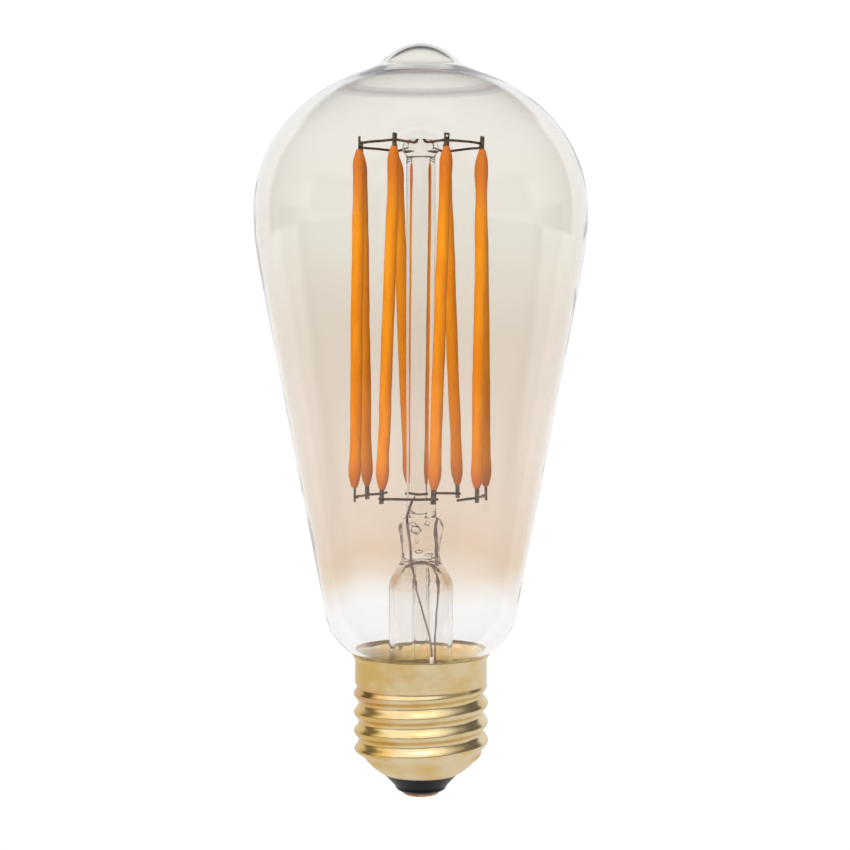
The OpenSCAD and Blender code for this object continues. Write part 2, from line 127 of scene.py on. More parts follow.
# Stem; a section is (height, half width, half thickness)
PRESS_SECTIONS = ((54.2, 2.75, 2.1), (53.95, 3.6, 2.25), (53.2, 4.15, 2.35), (52.0, 4.38, 2.4),
                  (50.2, 4.05, 2.25), (48.4, 3.8, 2.1), (46.8, 3.7, 2.1), (45.4, 3.95, 2.6),
                  (44.0, 4.8, 3.9), (42.6, 5.7, 5.3), (41.3, 6.15, 6.05), (40.0, 6.2, 6.2))
# The hollow's roof under the press
FLARE_ROOF = ((40.0, 5.4, 5.4), (41.4, 5.15, 4.9), (42.6, 4.5, 3.9), (43.7, 3.5, 2.8), (44.7, 2.3, 1.8),
              (45.4, 1.0, 0.8), (45.6, 0.01, 0.01))
# Each bubble's centre and half sizes
PRESS_BUBBLES = (((-0.85, -0.6, 51.8), (1.05, 0.7, 0.85)), ((-1.5, -1.1, 52.9), (0.8, 0.35, 0.35)),
                 ((1.15, -0.4, 53.0), (0.5, 0.4, 0.45)), ((-0.7, 0.5, 50.1), (0.35, 0.3, 0.8)),
                 ((-0.4, -1.0, 47.6), (0.75, 0.4, 0.4)), ((1.5, -0.7, 46.9), (0.8, 0.4, 0.35)),
                 ((2.3, -0.5, 46.0), (0.55, 0.5, 0.45)))
PRESS_LUMPS = 0.14
PRESS_FOOT_Z = 40
STEM_SIDES = 72
STEM_WALL = 0.8
FLARE_R = 6.2
FLARE_CURVE_R = 9
FLARE_CURVE_Z = 27
FLARE_SLOPE = 30
COLUMN_R = 2.8
COLLAR_HEIGHT = 3.4
EXHAUST_SINK = 0.75

# Lead wires; an inner lead starts under a bottom wire, at (number of the wire, share of its long run)
LEAD_R = 0.25
OUTER_LEAD_R = 0.18
SLEEVE_R = 0.45
SLEEVE_BORE_R = 0.27
LEADS = (
    ("left",
     ((1, 0.6), (-2.75, -1.6, 54.4), (-2.5, -1.1, 53.2)),
     ((-2.5, -1.1, 53.2), (-1.9, -0.9, 48), (-1.7, -1.4, 44.2)),
     ((-1.7, -1.4, 44.2), (-1.1, -2.5, 41.7), (2, -2.7, 30), (2.2, -2.8, 21), (3, -4, 11))),
    ("right",
     ((3, 0.5), (2.75, 1.6, 54.4), (2.5, 1.1, 53.2)),
     ((2.5, 1.1, 53.2), (2.6, 0.3, 48), (2.7, 0, 44.2)),
     ((2.7, 0, 44.2), (3.35, -1.2, 41.6), (2.6, -1.9, 30), (3.1, -2.2, 21), (5.5, -3, 11))),
)
SLEEVE = ((2.2, -2.8, 21), (2.07, -2.74, 27))

# Filaments
FILAMENTS = range(8)
FIRST_AZIMUTH = -157.5
AZIMUTH_STEP = 45
RING_TWIST = 12
TOP_RING_R = 12.6
BOTTOM_RING_R = 12.9
TOP_RING_Z = 125.6
BOTTOM_RING_Z = 58.2
BOTTOM_RING_TILT = 0.5
COAT_R = 1.15
COAT_END_LOW = 1.9
COAT_END_HIGH = 1.2
COAT_NOSE = 2.8
COAT_NOSE_SHARE = 0.5
COAT_ROWS = 72
COAT_SIDES = 24
WIRE_R = 0.25
WIRE_INSET = 0.425
WIRE_HUG = 0.9
WIRE_TAIL = 0.8
WIRE_BEND = 0.8
WIRE_STEP = 0.5
BOTTOM_TAILS = (6, WIRE_TAIL, 6, WIRE_TAIL)
TOP_WIRE_ROOT_R = 0.3
TOP_WIRE_ROOT_Z = 126.1

# Cap
THREAD_PITCH = 3.629
CREST_R = 13.05
ROOT_R = 12.1
SKIRT_R = 12.8
CREST_Z = 16.2
SKIRT_Z = 22.2
LIP_Z = 26.4
BRASS_WALL = 0.4
BOWL_TOP_Z = 9.3
BOWL_EDGE_R = 7.5
BOWL_ROUND = 10.8
THREAD_LOW_Z = 6.8
THREAD_FADE = 1.6
CAP_SIDES = 216
CAP_THREAD_ROWS = 120
CEMENT_WAVE = 0.5
CEMENT_NOTCH_TURN = 117
CEMENT_NOTCH_WIDTH = 3
CEMENT_NOTCH_DEPTH = 1.3
CAP_GAP = 0.03
INSULATOR_TOP_Z = 6.1
INSULATOR_SIDES = 120
CONTACT_SIDES = 96


# ---------------------------------------------------------------- outline and mesh tools
SAME_POINT = 1e-4
ON_AXIS = 1e-6


def facing(slope):
    """The outward direction (r, z) of a surface with this slope."""
    a = math.radians(slope)
    return Vector((math.sin(a), math.cos(a)))


def arc(centre, radius, slope_0, slope_1, steps):
    """Points along an arc; a negative radius makes it concave."""
    turn = slope_1 - slope_0
    return [centre + radius * facing(slope_0 + turn * i / steps) for i in range(steps + 1)]


def blend_01(t):
    """A smooth step: 0 for t up to 0, 1 for t from 1."""
    t = min(1, max(0, t))
    return t * t * (3 - 2 * t)


def clean(outline):
    """The outline without repeated points."""
    kept = [outline[0]]
    for p in outline[1:]:
        if (Vector(p) - Vector(kept[-1])).length > SAME_POINT:
            kept.append(p)
    return kept


def turned(r, turn, z):
    """A point at radius r, a turn in degrees counter-clockwise from +X, and a height."""
    a = math.radians(turn)
    return Vector((r * math.cos(a), r * math.sin(a), z))


def ring_point(azimuth, r, z):
    return turned(r, azimuth - 90, z)


def face_out(mesh):
    """Turns the faces so that they look out of the solid, and into its hollows."""
    work = bmesh.new()
    work.from_mesh(mesh)
    bmesh.ops.recalc_face_normals(work, faces=work.faces)
    work.to_mesh(mesh)
    work.free()


def piece(name, points, faces, slot, replaces, look=None):
    """A smooth mesh piece riding on the lamp's one body; points are in millimetres.
    Its material is its slot's, unless look names another."""
    mesh = bpy.data.meshes.new(name)
    mesh.from_pydata([Vector(p) * MM for p in points], [], faces)
    mesh.polygons.foreach_set("use_smooth", [True] * len(mesh.polygons))
    mesh.materials.append(MATERIALS[look or slot])
    face_out(mesh)
    made = placed(name, mesh)
    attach(made, "root")
    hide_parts(*replaces)
    return made


def skin(rows, loop=False):
    """Points and faces of rows of points that close round; a row of one point is a pole."""
    points = []
    starts = []
    for row in rows:
        starts.append(len(points))
        points.extend(row)
    faces = []
    pairs = list(zip(range(len(rows) - 1), range(1, len(rows))))
    if loop:
        pairs.append((len(rows) - 1, 0))
    for a, b in pairs:
        many = max(len(rows[a]), len(rows[b]))
        for i in range(many):
            j = (i + 1) % many
            corners = []
            for start, row, k in ((starts[a], rows[a], i), (starts[a], rows[a], j),
                                  (starts[b], rows[b], j), (starts[b], rows[b], i)):
                corner = start + (k if len(row) > 1 else 0)
                if corner not in corners:
                    corners.append(corner)
            faces.append(corners)
    return points, faces


def turned_rows(outline, sides, shape=None):
    """Rows of points for an outline of (r, z) turned round the axis; shape may move each point."""
    rows = []
    for r, z in clean(outline):
        if r < ON_AXIS:
            rows.append([Vector((0, 0, z))])
            continue
        row = [turned(r, 360 * i / sides, z) for i in range(sides)]
        rows.append([shape(p) for p in row] if shape else row)
    return rows


def lathe(outline, sides):
    return skin(turned_rows(outline, sides))


def joined(*meshes):
    """Several (points, faces) as one."""
    points = []
    faces = []
    for more_points, more_faces in meshes:
        base = len(points)
        points.extend(more_points)
        faces.extend([[base + i for i in face] for face in more_faces])
    return points, faces


def rounded(path, reach, steps=5):
    """The path with each corner turned into a curve that starts reach before it."""
    most = 0.45
    path = [Vector(p) for p in path]
    out = [path[0]]
    for a, b, c in zip(path, path[1:], path[2:]):
        before = b + (a - b).normalized() * min(reach, (a - b).length * most)
        after = b + (c - b).normalized() * min(reach, (c - b).length * most)
        for i in range(steps + 1):
            t = i / steps
            out.append(before.lerp(b, t).lerp(b.lerp(after, t), t))
    out.append(path[-1])
    return out


def sweep(path, radius, sides=14, cap_rows=3, shape=None):
    """A wire of round section along path with rounded ends; shape may scale the radius at a share."""
    count = len(path)
    run = [(path[min(i + 1, count - 1)] - path[max(i - 1, 0)]).normalized() for i in range(count)]
    side = run[0].orthogonal().normalized()
    sections = []
    for i, p in enumerate(path):
        side = (side - run[i] * side.dot(run[i])).normalized()
        r = radius * (shape(i / (count - 1)) if shape else 1)
        sections.append((p, side.copy(), run[i].cross(side), r))

    def row(section, offset, share):
        p, u, w, r = section
        return [p + offset + (u * math.cos(a) + w * math.sin(a)) * r * share
                for a in (math.tau * s / sides for s in range(sides))]

    rows = [[path[0] - run[0] * sections[0][3]]]
    for i in range(1, cap_rows):
        a = math.pi / 2 * i / cap_rows
        rows.append(row(sections[0], -run[0] * sections[0][3] * math.cos(a), math.sin(a)))
    rows.extend(row(s, Vector((0, 0, 0)), 1) for s in sections)
    for i in range(cap_rows - 1, 0, -1):
        a = math.pi / 2 * i / cap_rows
        rows.append(row(sections[-1], run[-1] * sections[-1][3] * math.cos(a), math.sin(a)))
    rows.append([path[-1] + run[-1] * sections[-1][3]])
    return skin(rows)


# ---------------------------------------------------------------- material tools
def add(tree, kind, values=None, **settings):
    """A shader node; values are numbers, colours or the sockets that feed its inputs."""
    made = tree.nodes.new("ShaderNode" + kind)
    for key, value in settings.items():
        setattr(made, key, value)
    for key, value in (values or {}).items():
        if isinstance(value, bpy.types.NodeSocket):
            tree.links.new(value, made.inputs[key])
        else:
            made.inputs[key].default_value = value
    return made


def maths(tree, operation, *values):
    """The result of a Math node."""
    return add(tree, "Math", dict(enumerate(values)), operation=operation).outputs[0]


def ramp(tree, factor, stops):
    """A colour ramp; stops are (place, colour)."""
    made = tree.nodes.new("ShaderNodeValToRGB")
    tree.links.new(factor, made.inputs["Fac"])
    while len(made.color_ramp.elements) < len(stops):
        made.color_ramp.elements.new(0.5)
    for element, (place, colour) in zip(made.color_ramp.elements, stops):
        element.position = place
        element.color = colour
    return made.outputs["Color"]


def place(tree, stretch=(1, 1, 1)):
    """The point on the object in millimetres, stretched."""
    at = add(tree, "TexCoord").outputs["Object"]
    scaled = add(tree, "Mapping", {"Vector": at, "Scale": tuple(s / MM for s in stretch)})
    return scaled.outputs["Vector"]


def grain(tree, scale, stretch=(1, 1, 1), detail=3.0, roughness=0.5):
    """Noise with features of about 1/scale millimetres, from 0 to 1."""
    made = add(tree, "TexNoise", {"Vector": place(tree, stretch), "Scale": scale,
                                  "Detail": detail, "Roughness": roughness})
    return made.outputs["Fac"]


def height(tree):
    """Height on the object in millimetres."""
    return add(tree, "SeparateXYZ", {"Vector": place(tree)}).outputs["Z"]


def across(tree):
    """How far to the right of the axis, in millimetres."""
    return add(tree, "SeparateXYZ", {"Vector": place(tree)}).outputs["X"]


def span(tree, value, low_value, high_value, out_low=0.0, out_high=1.0):
    """Value from low_value to high_value as a smooth step from out_low to out_high."""
    made = add(tree, "MapRange", {"Value": value, "From Min": low_value, "From Max": high_value,
                                  "To Min": out_low, "To Max": out_high},
               interpolation_type="SMOOTHSTEP")
    return made.outputs["Result"]


def both(tree, *shares):
    """The product of shares."""
    value = shares[0]
    for share in shares[1:]:
        value = maths(tree, "MULTIPLY", value, share)
    return value


def mixed(tree, factor, a, b):
    """Colour a where factor is 0, colour b where it is 1."""
    factor_at, a_at, b_at, colour_at = 0, 6, 7, 2
    made = add(tree, "Mix", {factor_at: factor, a_at: a, b_at: b}, data_type="RGBA")
    return made.outputs[colour_at]


def bump(tree, level, strength, distance_mm):
    made = add(tree, "Bump", {"Height": level, "Strength": strength, "Distance": distance_mm * MM})
    return made.outputs["Normal"]


def start(name):
    """A new material and its empty node tree."""
    material = bpy.data.materials.new(name)
    material.use_nodes = True
    material.node_tree.nodes.clear()
    return material, material.node_tree


def finish(material, shader):
    """The material, with the shader as its surface."""
    add(material.node_tree, "OutputMaterial", {"Surface": shader})
    return material


def rgb(r, g, b):
    """A linear colour from the 0 to 255 values of a display."""
    def linear(v):
        v /= 255
        return v / 12.92 if v <= 0.04045 else ((v + 0.055) / 1.055) ** 2.4
    return (linear(r), linear(g), linear(b), 1)


def lets_lamps_through(tree, glass, tint):
    """Glass as the eye sees it, and a plain tint for the lamps' light."""
    lamps = add(tree, "BsdfTransparent", {"Color": tint})
    path = add(tree, "LightPath")
    return add(tree, "MixShader", {"Fac": path.outputs["Is Shadow Ray"], 1: glass,
                                   2: lamps.outputs["BSDF"]}).outputs["Shader"]


# ---------------------------------------------------------------- materials
def facing_away(tree, blend=0.5):
    """0 where a surface faces the eye, 1 at its rim."""
    return add(tree, "LayerWeight", {"Blend": blend}).outputs["Facing"]


def clear_glass(tree, tint, ior, normal):
    """Polished glass that bends what is seen through it."""
    values = {"Base Color": tint, "Roughness": 0.0, "IOR": ior, "Transmission Weight": 1.0, "Normal": normal}
    return add(tree, "BsdfPrincipled", values).outputs["BSDF"]


def tinted_glass():
    """Amber lustre on clear glass: none at the neck, most just above it, less up to the crown.
    The rim is painted greyer as painted shade, and a painted grey ring stands for the dark reflected bands
    under the pip."""
    material, tree = start("tinted_glass")
    cloud = grain(tree, 0.035, detail=2.0)
    patchy = span(tree, cloud, 0.3, 0.7, -3.0, 3.0)
    level = maths(tree, "ADD", height(tree), patchy)
    share = add(tree, "MapRange", {"Value": level, "From Min": 0.0, "From Max": 150.0}).outputs["Result"]
    coated = ramp(tree, share, [(0.247, rgb(253, 252, 251)), (0.295, rgb(241, 227, 211)),
                                (0.36, rgb(243, 232, 221)), (0.46, rgb(245, 237, 228)),
                                (0.61, rgb(243, 236, 227)), (0.71, rgb(246, 243, 236)),
                                (0.86, rgb(249, 247, 243)), (1.0, rgb(252, 251, 248))])
    # painted shade: the tint turns grey where the surface turns away towards the rim
    painted_grey_rim_tint = mixed(tree, span(tree, facing_away(tree), 0.86, 0.99), coated, rgb(226, 222, 226))
    z = height(tree)
    # painted shade: a grey ring under the pip, standing for the dark reflected bands seen there
    painted_dark_ring = both(tree, span(tree, z, 136.9, 137.3), span(tree, z, 138.4, 138.0))
    tint = mixed(tree, painted_dark_ring, painted_grey_rim_tint, rgb(206, 200, 199))
    ripple = bump(tree, grain(tree, 0.11, detail=1.0), 0.12, 0.5)
    return finish(material, lets_lamps_through(tree, clear_glass(tree, tint, 1.48, ripple), coated))


def stem_glass():
    """Clear lead glass with faint drawn streaks and a warmer tone at the press's lower corners. Its rim is
    painted darker as painted shade, brown where the press is pinched.
    """
    material, tree = start("stem_glass")
    streak = grain(tree, 0.9, stretch=(1, 1, 0.06), detail=2.0)
    z = height(tree)
    tan = mixed(tree, span(tree, streak, 0.35, 0.75), rgb(255, 254, 253), rgb(253, 250, 246))
    above = span(tree, z, 40.2, 41.6)
    below = span(tree, z, 44.6, 43.0)
    side = maths(tree, "ABSOLUTE", across(tree))
    # a warmer tone at the press's lower corners, where it widens into the flare
    corner = both(tree, above, below, span(tree, side, 3.6, 5.4))
    warmer_press_corners = mixed(tree, corner, tan, rgb(240, 222, 200))
    # painted shade at the rim: brown where the press is pinched, grey elsewhere
    pinched = both(tree, span(tree, z, 43.5, 45.5), span(tree, z, 55.5, 54.0))
    rim = mixed(tree, pinched, rgb(226, 218, 210), rgb(196, 156, 108))
    edge = mixed(tree, span(tree, facing_away(tree), 0.6, 0.98), warmer_press_corners, rim)
    glass = clear_glass(tree, edge, 1.52, bump(tree, streak, 0.15, 0.2))
    return finish(material, lets_lamps_through(tree, glass, tan))


def thin_glass():
    """The exhaust tube's thin wall: hardly there but for its two edges, which are painted darker as painted
    shade.
    """
    material, tree = start("thin_glass")
    streak = grain(tree, 1.2, stretch=(1, 1, 0.1), detail=2.0)
    drawn = mixed(tree, streak, rgb(255, 255, 254), rgb(250, 248, 245))
    # painted shade: the tint darkens towards the rims where the wall turns away
    tint = mixed(tree, span(tree, facing_away(tree), 0.72, 0.98), drawn, rgb(214, 206, 196))
    glass = clear_glass(tree, tint, 1.06, bump(tree, streak, 0.1, 0.1))
    return finish(material, lets_lamps_through(tree, glass, drawn))


def metal(name, dark, light, roughness, streaks, scale=2.0, bump_mm=0.01):
    """Bare metal whose colour drifts from dark to light, with fine marks along streaks."""
    spread = 0.075
    material, tree = start(name)
    tone = grain(tree, scale, stretch=streaks, detail=4.0, roughness=0.6)
    marks = grain(tree, scale * 6, stretch=streaks, detail=2.0)
    shader = add(tree, "BsdfPrincipled", {
        "Base Color": mixed(tree, span(tree, tone, 0.3, 0.7), dark, light), "Metallic": 1.0,
        "Roughness": span(tree, marks, 0.3, 0.7, roughness - spread, roughness + spread),
        "Normal": bump(tree, marks, 0.5, bump_mm)})
    return finish(material, shader.outputs["BSDF"])


def moulded(name, dark, light, roughness, bump_mm=0.02, stretch=(1, 1, 1), coat=0.0):
    """Plastic, ceramic or lacquer with a slight drift of colour and a fine surface."""
    scale = 1.2
    material, tree = start(name)
    tone = grain(tree, scale, stretch=stretch, detail=4.0)
    fine = grain(tree, scale * 8, stretch=stretch, detail=3.0)
    shader = add(tree, "BsdfPrincipled", {
        "Base Color": mixed(tree, span(tree, tone, 0.3, 0.7), dark, light),
        "Roughness": span(tree, fine, 0.3, 0.7, roughness - 0.06, roughness + 0.06),
        "Normal": bump(tree, fine, 0.4, bump_mm)})
    shader.inputs["Coat Weight"].default_value = coat
    shader.inputs["Coat Roughness"].default_value = 0.08
    return finish(material, shader.outputs["BSDF"])


def phosphor():
    """Yellow phosphor in silicone: browner at the two ends, where no chips lie behind it. Its rims are
    painted a brighter yellow as a painted highlight.
    """
    material, tree = start("phosphor")
    z = height(tree)
    up = span(tree, z, 106, 124)
    down = span(tree, z, 68, 59)
    ends = maths(tree, "MAXIMUM", up, down)
    cloud = grain(tree, 0.6, stretch=(1, 1, 0.25), detail=3.0)
    body = mixed(tree, span(tree, cloud, 0.3, 0.7), rgb(212, 130, 3), rgb(222, 144, 10))
    colour = mixed(tree, ends, body, rgb(184, 102, 28))
    # painted highlight: brighter yellow where the coat turns away towards its rims
    painted_rim_light = mixed(tree, span(tree, facing_away(tree, 0.4), 0.35, 0.9), colour, rgb(222, 150, 18))
    lumps = grain(tree, 1.6, stretch=(1, 1, 0.4), detail=3.0)
    shader = add(tree, "BsdfPrincipled", {
        "Base Color": painted_rim_light, "Roughness": 0.5, "Specular IOR Level": 0.25, "Subsurface Weight": 0.1,
        "Subsurface Scale": 0.0005, "Subsurface Radius": (0.8, 0.5, 0.1),
        "Normal": bump(tree, lumps, 0.25, 0.04)})
    return finish(material, shader.outputs["BSDF"])


def cap_brass():
    """Rolled brass: pale gold, painted deeper gold to the left as a painted reflection, flushed at the
    skirt's foot, fine marks round the cap.
    """
    material, tree = start("cap_brass")
    patches = grain(tree, 0.16, stretch=(1, 1, 1.4), detail=3.0)
    rolled = grain(tree, 1.1, stretch=(0.35, 0.35, 3.0), detail=5.0, roughness=0.6)
    z = height(tree)
    x = across(tree)
    pale = rgb(235, 214, 172)
    deep = rgb(226, 188, 112)
    # painted reflection: the left side is pushed towards deeper gold
    painted_left_reflection = span(tree, x, -3, -11, 0.0, 0.3)
    golden = maths(tree, "ADD", patches, painted_left_reflection)
    colour = mixed(tree, span(tree, golden, 0.36, 0.84), pale, deep)
    reddish = both(tree, span(tree, z, 17.5, 19.5), span(tree, z, 23, 21), span(tree, x, -5, -11))
    flushed = mixed(tree, reddish, colour, rgb(216, 168, 104))
    aged = mixed(tree, span(tree, rolled, 0.6, 0.9, 0.0, 0.35), flushed, rgb(190, 146, 92))
    satin = span(tree, z, 9.6, 7.4)
    smudge = span(tree, patches, 0.3, 0.7, 0.17, 0.27)
    rough = maths(tree, "MULTIPLY_ADD", satin, 0.16, smudge)
    shader = add(tree, "BsdfPrincipled", {
        "Base Color": aged, "Metallic": 1.0, "Roughness": rough,
        "Normal": bump(tree, rolled, 0.3, 0.02)})
    return finish(material, shader.outputs["BSDF"])


def black_insulator():
    """Black cap glass: glossy, with a fine orange-peel skin."""
    material, tree = start("black_insulator")
    skin_marks = grain(tree, 1.4, detail=3.0)
    shader = add(tree, "BsdfPrincipled", {
        "Base Color": mixed(tree, skin_marks, rgb(5, 5, 5), rgb(15, 13, 12)),
        "Roughness": span(tree, skin_marks, 0.3, 0.7, 0.2, 0.34), "Specular IOR Level": 0.12,
        "Normal": bump(tree, skin_marks, 0.35, 0.04)})
    return finish(material, shader.outputs["BSDF"])


def cement():
    """Basing cement: cream and golden patches with pores. Its top is painted pale cream as painted light,
    and below that it is painted golden as painted shade.
    """
    material, tree = start("cement")
    patches = grain(tree, 0.45, stretch=(1, 1, 1.3), detail=4.0)
    pores = grain(tree, 3.0, detail=4.0)
    # painted light and shade: pale cream on the top 0.6 mm, golden below it
    painted_lit_band = mixed(tree, span(tree, height(tree), 26.3, 26.9), rgb(226, 200, 132), rgb(252, 244, 222))
    colour = mixed(tree, span(tree, patches, 0.42, 0.6), rgb(232, 210, 150), painted_lit_band)
    shader = add(tree, "BsdfPrincipled", {
        "Base Color": mixed(tree, span(tree, pores, 0.6, 0.8), colour, rgb(160, 130, 80)),
        "Roughness": 0.55, "Subsurface Weight": 0.2, "Subsurface Scale": 0.0006,
        "Normal": bump(tree, pores, 0.6, 0.12)})
    return finish(material, shader.outputs["BSDF"])


def circuit_board():
    """Green solder mask over hair-thin copper lands."""
    material, tree = start("circuit_board")
    cells = add(tree, "TexVoronoi", {"Vector": place(tree, (1, 1, 0.01)), "Scale": 0.55},
                feature="DISTANCE_TO_EDGE", distance="MANHATTAN").outputs["Distance"]
    lands = span(tree, cells, 0.05, 0.09)
    weave = grain(tree, 5.0, detail=2.0)
    base = mixed(tree, weave, rgb(22, 74, 48), rgb(30, 92, 60))
    shader = add(tree, "BsdfPrincipled", {
        "Base Color": mixed(tree, lands, rgb(46, 122, 78), base), "Roughness": 0.32,
        "Normal": bump(tree, lands, 0.4, 0.03)})
    shader.inputs["Coat Weight"].default_value = 0.4
    return finish(material, shader.outputs["BSDF"])


def winding_copper():
    """Lacquered copper wire wound in close turns; each turn is painted light on its crest and dark in its
    groove, as painted highlight and shade.
    """
    material, tree = start("winding_copper")
    turns = add(tree, "TexWave", {"Vector": place(tree), "Scale": 1.3, "Distortion": 0.4},
                bands_direction="Z", wave_profile="SIN").outputs["Fac"]
    # painted highlight on each turn's crest and painted shade in the groove between turns
    shader = add(tree, "BsdfPrincipled", {
        "Base Color": mixed(tree, turns, rgb(108, 48, 22), rgb(206, 116, 62)), "Metallic": 0.8,
        "Roughness": 0.28, "Normal": bump(tree, turns, 1.0, 0.12)})
    return finish(material, shader.outputs["BSDF"])


ALONG_Z = (1, 1, 0.15)
ROUND_Z = (0.3, 0.3, 3)
EVEN = (1, 1, 1)
MATERIALS = {
    "tinted_glass": tinted_glass(),
    "stem_glass": stem_glass(),
    "thin_glass": thin_glass(),
    "nickel_wire": metal("nickel_wire", rgb(58, 44, 36), rgb(132, 110, 94), 0.42, EVEN, 1.1),
    "seal_metal": metal("seal_metal", rgb(160, 146, 160), rgb(204, 192, 200), 0.45, ALONG_Z),
    "copper_wire": metal("copper_wire", rgb(170, 156, 158), rgb(222, 208, 202), 0.42, ALONG_Z),
    "phosphor": phosphor(),
    "strip_steel": metal("strip_steel", rgb(92, 80, 68), rgb(158, 144, 126), 0.4, EVEN, 1.4),
    "led_die": moulded("led_die", rgb(190, 200, 120), rgb(226, 214, 120), 0.3),
    "cap_brass": cap_brass(),
    "black_insulator": black_insulator(),
    "contact_copper": metal("contact_copper", rgb(150, 92, 52), rgb(214, 152, 96), 0.34,
                            EVEN, 0.9, 0.03),
    "cement": cement(),
    "circuit_board": circuit_board(),
    "black_moulding": moulded("black_moulding", rgb(26, 26, 28), rgb(40, 40, 42), 0.45),
    "capacitor_can": metal("capacitor_can", rgb(176, 178, 180), rgb(208, 210, 212), 0.3, ROUND_Z),
    "capacitor_film": moulded("capacitor_film", rgb(24, 40, 84), rgb(34, 54, 104), 0.25, coat=0.5),
    "ferrite": moulded("ferrite", rgb(44, 42, 42), rgb(64, 60, 58), 0.6, bump_mm=0.06),
    "resistor_lacquer": moulded("resistor_lacquer", rgb(150, 176, 168), rgb(172, 196, 186), 0.3,
                                coat=0.4),
    "sleeving": moulded("sleeving", rgb(226, 222, 214), rgb(240, 238, 232), 0.5, stretch=(3, 3, 3)),
    "solder": metal("solder", rgb(150, 152, 156), rgb(206, 208, 212), 0.24, EVEN, 1.2, 0.03),
    "winding_copper": winding_copper(),
}


# ---------------------------------------------------------------- glass
def envelope_outline(inset):
    """The envelope from the pip down to the end of its neck, inset into the glass."""
    pip_c = Vector((0, LAMP_LENGTH - PIP_R))
    fillet_c = pip_c + (PIP_R + PIP_FILLET_R) * facing(PIP_SLOPE)
    belly_c = Vector((ENVELOPE_R - BELLY_R, BELLY_Z))
    crown_c = belly_c + (BELLY_R - CROWN_R) * facing(BELLY_SLOPE)
    taper_c = Vector((ENVELOPE_R - TAPER_R, BELLY_Z))
    taper_end = taper_c + TAPER_R * facing(90 + CONE_ANGLE)
    cone_run = (taper_end.y - SHOULDER_Z) * math.tan(math.radians(CONE_ANGLE))
    shoulder_start = Vector((taper_end.x - cone_run, SHOULDER_Z))
    shoulder_c = shoulder_start - SHOULDER_R * facing(90 + CONE_ANGLE)
    neck_c = shoulder_c + (SHOULDER_R + NECK_FILLET_R) * facing(SHOULDER_SLOPE)
    outline = arc(pip_c, PIP_R - inset, 0, PIP_SLOPE, 22)
    outline += arc(fillet_c, -PIP_FILLET_R - inset, PIP_SLOPE, CROWN_SLOPE, 14)
    outline += arc(crown_c, CROWN_R - inset, CROWN_SLOPE, BELLY_SLOPE, 14)
    outline += arc(belly_c, BELLY_R - inset, BELLY_SLOPE, 90, 20)
    outline += arc(taper_c, TAPER_R - inset, 90, 90 + CONE_ANGLE, 8)
    cone_low = shoulder_c + (SHOULDER_R - inset) * facing(90 + CONE_ANGLE)
    outline += [outline[-1].lerp(cone_low, i / 24) for i in range(1, 24)]
    outline += arc(shoulder_c, SHOULDER_R - inset, 90 + CONE_ANGLE, SHOULDER_SLOPE, 22)
    outline += arc(neck_c, -NECK_FILLET_R - inset, SHOULDER_SLOPE, 90, 12)
    neck_r = neck_c.x - NECK_FILLET_R - inset
    return outline + [Vector((neck_r, NECK_BOTTOM + i)) for i in (3, 1.5, 0)]


def glass_envelope():
    """Blown glass: the inner skin wanders a little between its ends, and the wall is thicker at the pip."""
    low_run, high_run = 30, 20

    def inner(p):
        share = blend_01((p.z - STILL_Z) / low_run) * blend_01((LAMP_LENGTH - p.z) / high_run)
        swell = GLASS_WANDER * share * noise.noise(p * 0.045)
        sag = PIP_EXTRA * blend_01((p.z - PIP_FOOT_Z) / PIP_HEIGHT)
        return Vector((p.x * (1 + swell / ENVELOPE_R), p.y * (1 + swell / ENVELOPE_R), p.z - sag))

    rows = turned_rows(envelope_outline(0), ENVELOPE_SIDES)
    rows += turned_rows(envelope_outline(GLASS_WALL)[::-1], ENVELOPE_SIDES, inner)
    return piece("envelope_glass", *skin(rows), "tinted_glass", replaces=["glass_envelope"])


def between(sections, per_gap):
    """Points on a smooth curve through the sections, which are vectors of any size."""
    sections = [Vector(p) for p in sections]
    padded = [2 * sections[0] - sections[1]] + sections + [2 * sections[-1] - sections[-2]]
    out = []
    for a, b, c, d in zip(padded, padded[1:], padded[2:], padded[3:]):
        for i in range(per_gap):
            t = i / per_gap
            out.append(0.5 * (2 * b + (c - a) * t + (2 * a - 5 * b + 4 * c - d) * t * t
                              + (3 * b - a - 3 * c + d) * t ** 3))
    out.append(sections[-1])
    return out


def pinched_row(section, sides, lumps):
    """A row of the stem at a section, which is flat-sided where it is pinched."""
    z, wide, thick = section
    flat = 2 / (2 + 0.9 * (1 - thick / wide))
    row = []
    for i in range(sides):
        c, s = math.cos(math.tau * i / sides), math.sin(math.tau * i / sides)
        p = Vector((wide * math.copysign(abs(c) ** flat, c), thick * math.copysign(abs(s) ** flat, s), z))
        push = lumps * (noise.noise(p * 0.42) + 0.5 * noise.noise(p * 1.1))
        row.append(p + Vector((c, s, 0)) * push)
    return row


def void(centre, size, sides=20, steps=12):
    """A lumpy bubble in the glass: its faces look inward."""
    centre = Vector(centre)

    def lumpy(p):
        stretched = Vector(p[k] * size[k] for k in range(3))
        return centre + stretched * (1 + 0.5 * noise.noise(p * 1.7 + centre))

    rows = [[lumpy(Vector((0, 0, 1)))]]
    for i in range(1, steps):
        a = math.pi * i / steps
        rows.append([lumpy(Vector((math.sin(a) * math.cos(t), math.sin(a) * math.sin(t), math.cos(a))))
                     for t in (math.tau * s / sides for s in range(sides))])
    rows.append([lumpy(Vector((0, 0, -1)))])
    return skin(rows)


